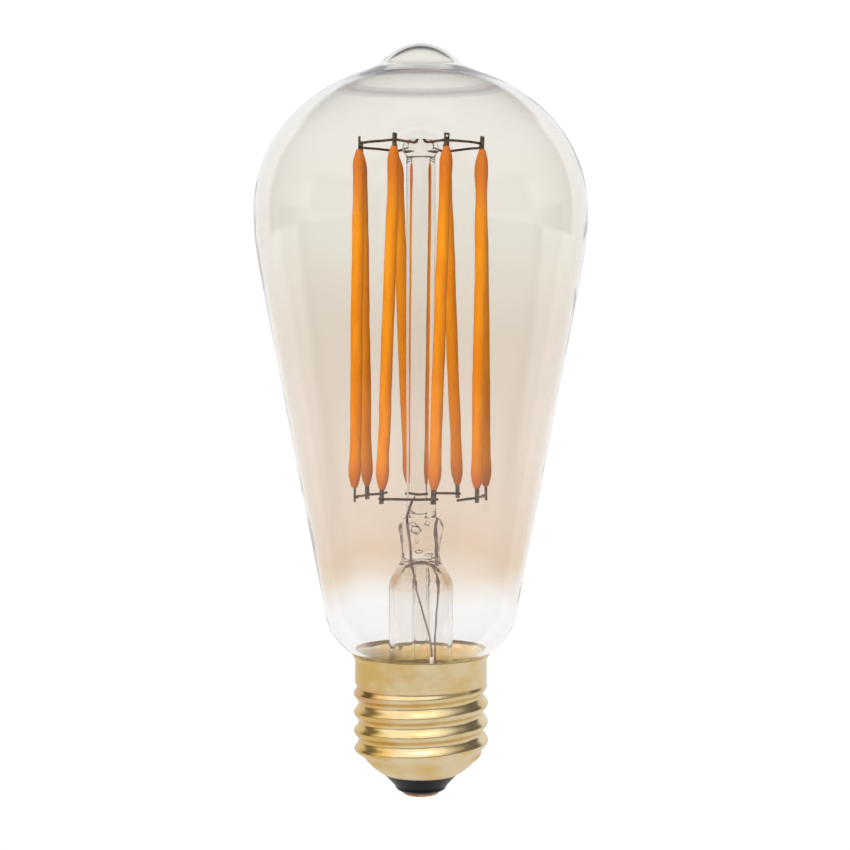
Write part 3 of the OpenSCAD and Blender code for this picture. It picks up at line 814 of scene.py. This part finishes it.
def stem_flare():
    """The flare tube, closed in the flat press round the seal wires, with the bubbles that stay in it."""
    flare_c = Vector((FLARE_R + FLARE_CURVE_R, FLARE_CURVE_Z))
    flare = arc(flare_c, -FLARE_CURVE_R, 90, FLARE_SLOPE, 14)
    flare_inside = arc(flare_c, -FLARE_CURVE_R - STEM_WALL, 90, FLARE_SLOPE, 14)
    outside = between(PRESS_SECTIONS, 7)
    outside += [(FLARE_CURVE_Z + up, FLARE_R, FLARE_R) for up in (10, 7, 4, 2)]
    lip = [Vector((FLARE_RIM_R, flare[-1].y)), Vector((FLARE_RIM_R, FLARE_BOTTOM)),
           Vector((flare_inside[-1].x, FLARE_BOTTOM))]
    rows = [[Vector((0, 0, PRESS_TOP))]]
    rows += [pinched_row(p, STEM_SIDES, PRESS_LUMPS * blend_01((p[0] - PRESS_FOOT_Z) / 6)) for p in outside]
    rows += turned_rows(flare + lip, STEM_SIDES)
    rows += turned_rows(flare_inside[::-1], STEM_SIDES)
    rows += [pinched_row(p, STEM_SIDES, 0) for p in between(FLARE_ROOF, 6)[:-1]]
    rows.append([Vector((0, 0, FLARE_ROOF[-1][0]))])
    body = skin(rows)
    bubbles = [void(centre, size) for centre, size in PRESS_BUBBLES]
    return piece("stem_press_and_flare", *joined(body, *bubbles), "stem_glass", replaces=["stem_flare"])


def stem_column():
    """The glass column: a drawn rod with a collar melted on its top."""
    neck = COLUMN_TOP - COLLAR_HEIGHT
    collar = between([(COLUMN_R, neck), (COLUMN_R + 0.25, neck + 0.6), (COLLAR_R, neck + 1.3),
                      (COLLAR_R, neck + 2.2), (COLLAR_R - 0.25, neck + 2.9), (COLLAR_R - 1.1, COLUMN_TOP),
                      (COLLAR_R - 2.2, COLUMN_TOP - 0.2)], 6)
    rows = 40
    shaft = [Vector((COLUMN_R, PRESS_TOP + (neck - PRESS_TOP) * i / rows)) for i in range(rows)]
    outline = [Vector((0, PRESS_TOP))] + shaft + collar + [Vector((0, COLUMN_TOP - 0.35))]

    def drawn(p):
        swell = 1 + 0.012 * noise.noise(Vector((p.x * 0.3, p.y * 0.3, p.z * 0.09)))
        return Vector((p.x * swell, p.y * swell, p.z))

    return piece("stem_column_glass", *skin(turned_rows(outline, STEM_SIDES, drawn)), "stem_glass",
                 replaces=["stem_column"])


def exhaust_tube():
    """The sealed-off exhaust tube, drawn out to a blunt tip."""
    top = EXHAUST_TOP - EXHAUST_SINK
    bore = EXHAUST_R * 0.75

    def above_tip(*points):
        return [Vector((r, EXHAUST_TIP + up)) for r, up in points]

    outer = above_tip((0, 0))
    outer += between(above_tip((0.5, 0.15), (1.1, 0.9), (EXHAUST_R, 2.2), (EXHAUST_R, 6)), 5)
    inner = above_tip((bore, 6))
    inner += between(above_tip((bore, 4), (bore * 0.7, 2.7), (0.2, 1.9)), 5)
    outline = outer + [Vector((EXHAUST_R, top)), Vector((bore, top))] + inner + above_tip((0, 1.8))
    return piece("exhaust_tube_glass", *lathe(outline, 40), "stem_glass",
                 replaces=["exhaust_tube"], look="thin_glass")


# ---------------------------------------------------------------- wires
def bottom_azimuth(i):
    return FIRST_AZIMUTH + i * AZIMUTH_STEP - RING_TWIST


def top_azimuth(i):
    return FIRST_AZIMUTH + i * AZIMUTH_STEP


def bottom_point(azimuth, r):
    return ring_point(azimuth, r, BOTTOM_RING_Z + BOTTOM_RING_TILT * math.cos(math.radians(azimuth)))


def tangent(azimuth, d):
    a = math.radians(azimuth)
    return d * Vector((math.cos(a), math.sin(a), 0))


def uneven(path, amount, seed):
    """The path in short steps, wandering by up to about amount between its ends."""
    out = []
    for a, b in zip(path, path[1:]):
        steps = max(1, round((b - a).length / WIRE_STEP))
        out.extend(a.lerp(b, i / steps) for i in range(steps))
    out.append(path[-1])
    shake = [amount * blend_01(i / 4) * blend_01((len(out) - 1 - i) / 4) for i in range(len(out))]
    return [p + k * noise.noise_vector(p * 0.3 + Vector((seed, 0, 0))) for p, k in zip(out, shake)]


def wire(name, path, radius, slot, node, seed):
    """A wire that replaces a node; each seed wanders in its own way."""
    run = uneven(rounded(path, WIRE_BEND), 0.1, seed)
    return piece(name, *sweep(run, radius), slot, replaces=[node])


def top_wire_path(k):
    """From the outer filament of a pair, past the inner one, into the column's collar."""
    inner = 2 * k + k % 2
    outer = 2 * k + 1 - k % 2
    r = TOP_RING_R - WIRE_INSET
    side = math.copysign(1, inner - outer)
    az_a, az_b = top_azimuth(outer), top_azimuth(inner)
    a, b = ring_point(az_a, r, TOP_RING_Z), ring_point(az_b, r, TOP_RING_Z)
    return [a - side * tangent(az_a, WIRE_TAIL), a + side * tangent(az_a, WIRE_HUG),
            b - side * tangent(az_b, WIRE_HUG), b + side * tangent(az_b, WIRE_HUG / 2),
            ring_point(az_b, TOP_WIRE_ROOT_R, TOP_WIRE_ROOT_Z)]


def bottom_wire_path(k):
    az_a, az_b = bottom_azimuth(2 * k + 1), bottom_azimuth(2 * k + 2)
    r = BOTTOM_RING_R - WIRE_INSET
    a, b = bottom_point(az_a, r), bottom_point(az_b, r)
    return [a - tangent(az_a, BOTTOM_TAILS[k]), a + tangent(az_a, WIRE_HUG),
            b - tangent(az_b, WIRE_HUG), b + tangent(az_b, WIRE_TAIL)]


def under_bottom_wire(k, share):
    """Where a lead touches the underside of a bottom wire."""
    path = bottom_wire_path(k)
    return path[1].lerp(path[2], share) - Vector((0, 0, 2 * WIRE_R))


def joining_wires():
    for k, where in enumerate(("back_left", "front_left", "front_right", "back_right")):
        wire(f"top_joining_wire_{where}", top_wire_path(k), WIRE_R, "nickel_wire",
             f"top_wire_{where}", k)
    for k, where in enumerate(("left", "front", "right", "back")):
        wire(f"bottom_joining_wire_{where}", bottom_wire_path(k), WIRE_R, "nickel_wire",
             f"bottom_wire_{where}", 4 + k)


def leads():
    """The two lead wires: inner lead, seal wire in the press, thin outer lead with its welded bead."""
    for side, inner, seal, outer in LEADS:
        from_ring = [under_bottom_wire(*inner[0]), *inner[1:]]
        wire(f"{side}_inner_lead_wire", from_ring, LEAD_R, "nickel_wire", f"{side}_inner_lead", 11)
        wire(f"{side}_seal_wire_run", seal, LEAD_R, "seal_metal", f"{side}_seal_wire", 12)
        run = uneven(rounded(outer, 2.5), 0.12, 13)
        bead = Vector(outer[1])
        nearest = min(range(len(run)), key=lambda i: (run[i] - bead).length) / (len(run) - 1)

        def beaded(share):
            return 1 + 1.3 * math.exp(-((share - nearest) / 0.012) ** 2)

        piece(f"{side}_outer_lead_wire", *sweep(run, OUTER_LEAD_R, shape=beaded), "copper_wire",
              replaces=[f"{side}_outer_lead"])


def lead_sleeve():
    """The insulating sleeve on the left outer lead, cut square and a little ragged."""
    a, b = Vector(SLEEVE[0]), Vector(SLEEVE[1])
    axis = (b - a).normalized()
    u = axis.orthogonal().normalized()
    w = axis.cross(u)
    steps, sides = 12, 20
    outline = [(0, SLEEVE_BORE_R)] + [(i / steps, SLEEVE_R) for i in range(steps + 1)] + [(1, SLEEVE_BORE_R)]
    rows = []
    for share, r in outline:
        centre = a.lerp(b, share)
        ragged = r * (1 + 0.06 * noise.noise(centre * 3))
        rows.append([centre + (u * math.cos(t) + w * math.sin(t)) * ragged
                     for t in (math.tau * s / sides for s in range(sides))])
    return piece("lead_sleeve_tube", *skin(rows, loop=True), "sleeving", replaces=["lead_sleeve"])


# ---------------------------------------------------------------- filaments
def coat_share(along, length):
    """Radius of the coat as a share of its full one: blunt ogive ends, each with a bead behind it."""
    end = min(along, length - along)
    nose = min(1, end / COAT_NOSE)
    ogive = COAT_NOSE_SHARE + (1 - COAT_NOSE_SHARE) * math.sin(math.pi / 2 * nose)
    bead = 0.08 * math.exp(-((end - 3.6) / 1.8) ** 2) - 0.05 * math.exp(-((end - 9) / 3) ** 2)
    return ogive + bead


def filament_coat(i):
    """One filament's coat, from just above its lower tab to just below its upper one."""
    wander, swell, pimples, tip = 0.12, 0.05, 0.02, 0.15
    foot = bottom_point(bottom_azimuth(i), BOTTOM_RING_R)
    head = ring_point(top_azimuth(i), TOP_RING_R, TOP_RING_Z)
    axis = (head - foot).normalized()
    start_at, end_at = foot + axis * COAT_END_LOW, head - axis * COAT_END_HIGH
    length = (end_at - start_at).length
    u = Vector((0, 0, 1)).cross(Vector((foot.x, foot.y, 0))).normalized()
    w = axis.cross(u)
    u = w.cross(axis)
    rows = []
    for j in range(COAT_ROWS + 1):
        t = 0.5 - 0.5 * math.cos(math.pi * j / COAT_ROWS)
        along = t * length
        seed = Vector((i * 7.3, 0, along * 0.12))
        aside = (u * noise.noise(seed) + w * noise.noise(seed.yzx)) * wander
        r = COAT_R * coat_share(along, length) * (1 + swell * noise.noise(seed * 2.4))
        row = []
        for s in range(COAT_SIDES):
            a = math.tau * s / COAT_SIDES
            around = u * math.cos(a) + w * math.sin(a)
            pimple = pimples * noise.noise(around * 1.4 + Vector((0, i * 3.1, along * 0.9)))
            row.append(start_at + axis * along + aside + around * r * (1 + pimple))
        rows.append(row)
    rows = [[start_at - axis * tip]] + rows + [[end_at + axis * tip]]
    return piece(f"filament_coat_{i + 1}", *skin(rows), "phosphor", replaces=[f"filament_{i + 1}"])


# ---------------------------------------------------------------- cap
def bowl_r(z):
    """Radius of the bowl below the thread; its side is an arc from the insulator up to the root."""
    if z > BOWL_TOP_Z:
        return ROOT_R
    chord = Vector((ROOT_R - BOWL_EDGE_R, BOWL_TOP_Z - BOWL_EDGE_Z))
    middle = Vector((BOWL_EDGE_R, BOWL_EDGE_Z)) + chord / 2
    reach = math.sqrt(BOWL_ROUND ** 2 - (chord.length / 2) ** 2)
    centre = middle - reach * Vector((chord.y, -chord.x)) / chord.length
    return centre.x + math.sqrt(BOWL_ROUND ** 2 - (z - centre.y) ** 2)


def cap_r(z, turn):
    """Radius of the rolled cap: bowl, right-hand thread, skirt and flared lip."""
    share = (1 + math.cos(math.tau * ((z - CREST_Z) / THREAD_PITCH - (turn - 180) / 360))) / 2
    rising = min(1, max(0, (z - THREAD_LOW_Z) / THREAD_FADE))
    rolled = bowl_r(z) + rising * (CREST_R - ROOT_R) * share
    ending = min(1, max(0, (SKIRT_Z - z) / THREAD_FADE))
    flare = (RIM_R - SKIRT_R) * blend_01((z - LIP_Z) / (RIM_Z - LIP_Z))
    return ending * rolled + (1 - ending) * SKIRT_R + flare


def screw_cap():
    """The rolled cap, slightly dented, with its two edges rounded."""
    edge = 0.1
    heights = [BOWL_EDGE_Z + (THREAD_LOW_Z - BOWL_EDGE_Z) * i / 12 for i in range(12)]
    threaded = SKIRT_Z - THREAD_LOW_Z
    heights += [THREAD_LOW_Z + threaded * i / CAP_THREAD_ROWS for i in range(CAP_THREAD_ROWS)]
    heights += [SKIRT_Z + (LIP_Z - SKIRT_Z) * i / 8 for i in range(8)]
    heights += [LIP_Z + (RIM_Z - edge - LIP_Z) * i / 8 for i in range(9)]

    def row(z, wall):
        points = []
        for i in range(CAP_SIDES):
            turn = 360 * i / CAP_SIDES
            p = turned(cap_r(z, turn) - wall, turn, z)
            dent = 0.03 * noise.noise(p * 0.22) + 0.012 * noise.noise(p * 0.8)
            points.append(p - Vector((p.x, p.y, 0)).normalized() * abs(dent))
        return points

    rows = [row(BOWL_EDGE_Z, BRASS_WALL * 0.75), row(BOWL_EDGE_Z, BRASS_WALL * 0.25)]
    rows += [row(z, 0) for z in heights]
    rows += [row(RIM_Z, BRASS_WALL * 0.25), row(RIM_Z, BRASS_WALL * 0.6)]
    rows += [row(z, BRASS_WALL) for z in reversed(heights)]
    return piece("rolled_screw_cap", *skin(rows, loop=True), "cap_brass", replaces=["screw_cap"])


def cap_insulator():
    """Moulded black glass: fills the bowl's mouth, tapers to a small step round the contact."""
    inside = [Vector((bowl_r(z) - BRASS_WALL - CAP_GAP, z)) for z in (INSULATOR_TOP_Z, 5.5, 4.9, 4.4)]
    outline = [Vector((0, INSULATOR_TOP_Z))] + inside
    outline += between([(7.36, 4.28), (7.05, 3.95), (6.1, 2.95), (5.2, 1.95), (5.0, 1.6), (4.85, 1.3),
                        (4.5, 1.0), (CONTACT_R + 0.25, 0.66)], 5)
    seat_r, seat_z = CONTACT_R + 0.02, 0.95
    outline += [Vector((seat_r, 0.62)), Vector((seat_r, seat_z)), Vector((0, seat_z))]

    def moulded_skin(p):
        return p * (1 + 0.004 * noise.noise(p * 0.7))

    made = skin(turned_rows(outline, INSULATOR_SIDES, moulded_skin))
    return piece("cap_insulator_glass", *made, "black_insulator", replaces=["cap_insulator"])


def centre_contact():
    """The pressed contact: a flat eyelet with a rolled rim."""
    flat_r, roll_wide, roll_tall, top = 2.6, 1.0, 0.6, 0.9
    outline = [Vector((0, 0.05)), Vector((0.7, 0.03)), Vector((1.1, 0)), Vector((flat_r, 0))]
    for a in (math.radians(degrees) for degrees in range(10, 91, 10)):
        outline.append(Vector((flat_r + roll_wide * math.sin(a), roll_tall * (1 - math.cos(a)))))
    outline += [Vector((CONTACT_R, top)), Vector((0, top))]
    return piece("contact_eyelet", *lathe(outline, CONTACT_SIDES), "contact_copper",
                 replaces=["centre_contact"])


def basing_cement():
    """The ring of cement between neck and cap; its top edge wanders."""
    neck = [p for p in envelope_outline(0) if p.y < CEMENT_TOP + 1.6]

    def glass_r(z):
        above = min((p for p in neck if p.y >= z), key=lambda p: p.y)
        below = max((p for p in neck if p.y <= z), key=lambda p: p.y)
        t = 0 if above.y == below.y else (z - below.y) / (above.y - below.y)
        return below.x + (above.x - below.x) * t

    sides = 160
    rows = []
    steps = 16
    for side, order in (("outer", range(steps + 1)), ("inner", range(steps, -1, -1))):
        for j in order:
            row = []
            for i in range(sides):
                turn = 360 * i / sides
                from_notch = (turn - CEMENT_NOTCH_TURN) / CEMENT_NOTCH_WIDTH
                edge = CEMENT_TOP - 0.1 + CEMENT_WAVE * noise.noise(turned(2.6, turn, 0.4))
                edge -= CEMENT_NOTCH_DEPTH * math.exp(-from_notch ** 2)
                z = CEMENT_LOW + (edge - CEMENT_LOW) * j / steps
                inner_r = glass_r(z) + CAP_GAP
                outer_r = cap_r(z, turn) - BRASS_WALL - CAP_GAP
                round_top = 0.35 * blend_01((j - steps + 3) / 3) * (outer_r - inner_r)
                r = outer_r - round_top if side == "outer" else inner_r + round_top
                row.append(turned(r, turn, z))
            rows.append(row)
    return piece("basing_cement_ring", *skin(rows, loop=True), "cement", replaces=["basing_cement"])


# ---------------------------------------------------------------- nodes left as the frame has them
NODE_MATERIALS = {
    "led_chips": "led_die",
    "driver_board": "circuit_board",
    "bridge_rectifier": "black_moulding",
    "smoothing_capacitor": "capacitor_can",
    "capacitor_sleeve": "capacitor_film",
    "driver_chip": "black_moulding",
    "choke_core": "ferrite",
    "choke_winding": "winding_copper",
    "fuse_resistor": "resistor_lacquer",
    "radio_module": "capacitor_can",
    "mains_lead_centre": "copper_wire",
    "mains_lead_shell": "copper_wire",
    "solder_joints": "solder",
}


def dress_nodes():
    dressed = dict(NODE_MATERIALS)
    dressed.update({f"filament_strip_{i + 1}": "strip_steel" for i in FILAMENTS})
    for node, name in dressed.items():
        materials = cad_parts[node].data.materials
        materials.clear()
        materials.append(MATERIALS[name])


# ---------------------------------------------------------------- studio
OVERHEAD = (0.0, -0.19, 0.98)
FLOOR_LIT = 210
PLAIN = 1.02


def bright(red, green, blue):
    """A brightness in the studio, where 1 is white on the screen."""
    return (red, green, blue, 1)


def seen_plainly(tree):
    """1 for rays that come from the camera straight or through glass, 0 for light and reflections."""
    path = add(tree, "LightPath").outputs
    no_gloss = maths(tree, "LESS_THAN", path["Glossy Depth"], 0.5)
    no_bounce = maths(tree, "LESS_THAN", path["Diffuse Depth"], 0.5)
    through = both(tree, path["Is Transmission Ray"], no_gloss, no_bounce)
    return maths(tree, "MAXIMUM", path["Is Camera Ray"], through)


def studio_world():
    """A white sweep behind the lamp, a dim room in front, a lamp overhead and a soft box at each side.
    What is seen straight or through glass is the plain pale sweep, and a grey ceiling where thick glass
    bends the view up. Only the metal's soft reflections see the canopy over the lamp."""
    world = bpy.data.worlds.new("studio")
    bpy.context.scene.world = world
    world.use_nodes = True
    tree = world.node_tree
    tree.nodes.clear()
    direction = add(tree, "TexCoord").outputs["Generated"]
    way = add(tree, "SeparateXYZ", {"Vector": direction})
    right, back, up = way.outputs["X"], way.outputs["Y"], way.outputs["Z"]
    side = maths(tree, "ABSOLUTE", right)
    mirrored = add(tree, "LightPath").outputs["Is Singular Ray"]
    sweep_share = both(tree, span(tree, back, 0.56, 0.62), span(tree, up, 0.6, 0.5))
    box_share = both(tree, span(tree, side, 0.66, 0.74), span(tree, back, 0.08, 0.0),
                     span(tree, up, 0.32, 0.24), span(tree, up, -0.4, 0.0))
    canopy_share = both(tree, span(tree, up, 0.2, 0.45), span(tree, right, 0.9, 0.3),
                        span(tree, back, 0.3, 0.0))
    near_lamp = add(tree, "VectorMath", {0: direction, 1: OVERHEAD}, operation="DOT_PRODUCT")
    overhead_share = span(tree, near_lamp.outputs["Value"], 0.93, 0.965)
    glow_share = span(tree, near_lamp.outputs["Value"], 0.6, 0.95)
    dim = mixed(tree, span(tree, side, 0.45, 0.8), bright(0.08, 0.08, 0.082), bright(0.3, 0.3, 0.3))
    mirror_room = mixed(tree, glow_share, dim, bright(0.11, 0.11, 0.11))
    room = mixed(tree, mirrored, bright(0.16, 0.15, 0.14), mirror_room)
    swept = mixed(tree, sweep_share, room, bright(0.9, 0.91, 0.93))
    boxed = mixed(tree, box_share, swept, bright(0.55, 0.55, 0.56))
    under_canopy = mixed(tree, canopy_share, boxed, bright(1.25, 1.22, 1.15))
    mirror_lamps = mixed(tree, overhead_share, boxed, bright(0.3, 0.3, 0.29))
    matt_lamps = mixed(tree, overhead_share, under_canopy, bright(2.2, 2.15, 2.05))
    lamps = mixed(tree, mirrored, matt_lamps, mirror_lamps)
    ceiling = mixed(tree, span(tree, up, 0.45, 0.85), bright(0.5, 0.48, 0.48), bright(0.22, 0.2, 0.2))
    through_glass = add(tree, "LightPath").outputs["Is Transmission Ray"]
    bent_up = both(tree, through_glass, span(tree, up, 0.4, 0.55))
    plain = mixed(tree, bent_up, bright(PLAIN, PLAIN, PLAIN), ceiling)
    colour = mixed(tree, seen_plainly(tree), lamps, plain)
    background = add(tree, "Background", {"Color": colour, "Strength": 1.0})
    add(tree, "OutputWorld", {"Surface": background.outputs["Background"]})


def floor():
    """A plain white floor just below the lamp. In sharp reflections it darkens FLOOR_LIT in front."""
    half, drop = 3000, -8
    corners = ((-half, -half), (half, -half), (half, half), (-half, half))
    mesh = bpy.data.meshes.new("floor")
    mesh.from_pydata([Vector((x, y, drop)) * MM for x, y in corners], [], [(0, 1, 2, 3)])
    material, tree = start("floor")
    at = add(tree, "VectorMath", {0: place(tree), 1: (1, 1, 0)}, operation="MULTIPLY").outputs["Vector"]
    away = add(tree, "VectorMath", {0: at}, operation="LENGTH").outputs["Value"]
    patch = span(tree, away, FLOOR_LIT * 1.3, FLOOR_LIT * 0.8, 0.12, 0.95)
    ahead = span(tree, add(tree, "SeparateXYZ", {"Vector": at}).outputs["Y"], 60, -20)
    mirrored = add(tree, "LightPath").outputs["Is Singular Ray"]
    behind = span(tree, mirrored, 0, 1, 0.8, 0.95)
    dark_end = both(tree, ahead, mirrored)
    in_light = add(tree, "Mix", {"Factor": dark_end, "A": behind, "B": patch}).outputs["Result"]
    strength = add(tree, "Mix", {"Factor": seen_plainly(tree), "A": in_light, "B": PLAIN})
    lit = add(tree, "Emission", {"Color": bright(1, 1, 1), "Strength": strength.outputs["Result"]})
    mesh.materials.append(finish(material, lit.outputs[0]))
    made = placed("floor", mesh)


def soft_light(name, at, target, width, tall, watts):
    """A soft rectangular light that fills shadows and shows in no reflection."""
    data = bpy.data.lights.new(name, "AREA")
    data.shape = "RECTANGLE"
    data.size, data.size_y, data.energy = width, tall, watts
    made = placed(name, data)
    made.location = at
    made.rotation_euler = (Vector(target) - Vector(at)).to_track_quat("-Z", "Y").to_euler()
    made.visible_camera = False
    made.visible_transmission = False
    made.visible_glossy = False


glass_envelope()
stem_flare()
stem_column()
exhaust_tube()
joining_wires()
leads()
lead_sleeve()
for i in FILAMENTS:
    filament_coat(i)
screw_cap()
cap_insulator()
centre_contact()
basing_cement()
dress_nodes()
studio_world()
floor()
soft_light("front_fill", (-0.25, -0.6, 0.3), (0, 0, 0.09), 0.4, 0.4, 6)

scene = bpy.context.scene
scene.view_settings.view_transform = "Standard"
scene.cycles.max_bounces = 40
scene.cycles.transmission_bounces = 36
scene.cycles.glossy_bounces = 16
scene.cycles.transparent_max_bounces = 40
